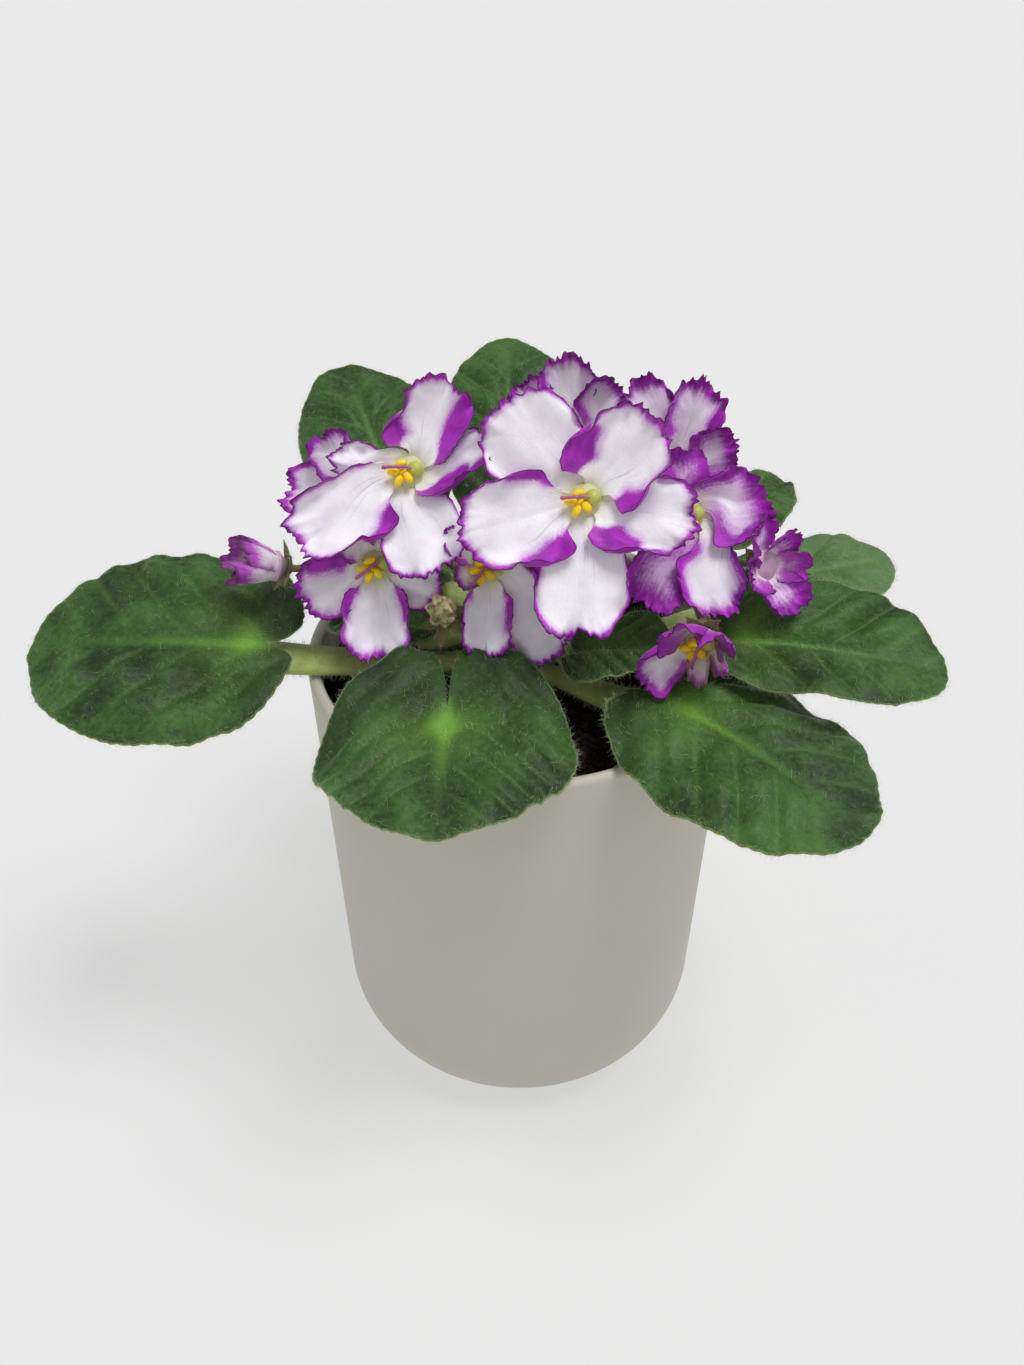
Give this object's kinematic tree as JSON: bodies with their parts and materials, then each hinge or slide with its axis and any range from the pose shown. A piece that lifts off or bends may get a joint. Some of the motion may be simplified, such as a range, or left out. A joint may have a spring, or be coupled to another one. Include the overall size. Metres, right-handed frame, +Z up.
{
  "type": "potted african violet",
  "caption": "Tapered round-footed pot of soil with a flowering African violet: stalked heart-shaped leaves below a dome of frilled white and purple blooms.",
  "frame": {"origin": "middle of the pot's flat foot, on the surface that it stands on", "axes": "+Z up along the pot's axis, -Y towards the side that the blooms face, +X to the right of a viewer on that side"},
  "size_m": [0.248, 0.1864, 0.2259],
  "materials": {
    "pot": "matte, smooth off-white",
    "soil": "dark crumbly potting mix",
    "crown": "soft green plant stem",
    "blade": "velvety dark green leaf with fine hairs",
    "stalk": "pale green hairy leaf stalk",
    "petal": "soft white petals with purple frilled edges",
    "anther": "bright yellow, slightly waxy",
    "style": "smooth pink purple",
    "stem": "brownish green hairy flower stem",
    "faded": "dry crumpled tan petals"
  },
  "bodies": {
    "root": {"pot": "pot", "soil": "soil", "crown": "crown", "leaf_left_blade": "blade", "leaf_left_stalk": "stalk", "leaf_front_left_blade": "blade", "leaf_front_left_stalk": "stalk", "leaf_front_right_blade": "blade", "leaf_front_right_stalk": "stalk", "leaf_right_blade": "blade", "leaf_right_stalk": "stalk", "leaf_right_upper_blade": "blade", "leaf_right_upper_stalk": "stalk", "leaf_right_back_blade": "blade", "leaf_right_back_stalk": "stalk", "leaf_back_right_blade": "blade", "leaf_back_right_stalk": "stalk", "leaf_back_blade": "blade", "leaf_back_stalk": "stalk", "leaf_back_left_blade": "blade", "leaf_back_left_stalk": "stalk", "leaf_inner_front_blade": "blade", "leaf_inner_front_stalk": "stalk", "leaf_inner_left_blade": "blade", "leaf_inner_left_stalk": "stalk", "leaf_inner_back_blade": "blade", "leaf_inner_back_stalk": "stalk", "bloom_centre_petals": "petal", "bloom_centre_anthers": "anther", "bloom_centre_style": "style", "bloom_upper_left_petals": "petal", "bloom_upper_left_anthers": "anther", "bloom_upper_left_style": "style", "bloom_low_left_petals": "petal", "bloom_low_left_anthers": "anther", "bloom_low_left_style": "style", "bloom_low_middle_petals": "petal", "bloom_low_middle_anthers": "anther", "bloom_low_middle_style": "style", "bloom_right_petals": "petal", "bloom_right_anthers": "anther", "bloom_right_style": "style", "bloom_back_right_petals": "petal", "bloom_back_petals": "petal", "bloom_low_right_petals": "petal", "bloom_low_right_anthers": "anther", "bloom_low_right_style": "style", "bloom_far_right_petals": "petal", "bloom_far_left_petals": "petal", "bloom_bud_left_petals": "petal", "flower_stem_front": "stem", "flower_stem_left": "stem", "flower_stem_right": "stem", "flower_stem_back": "stem", "bloom_faded": "faded"}
  },
  "joints": []
}
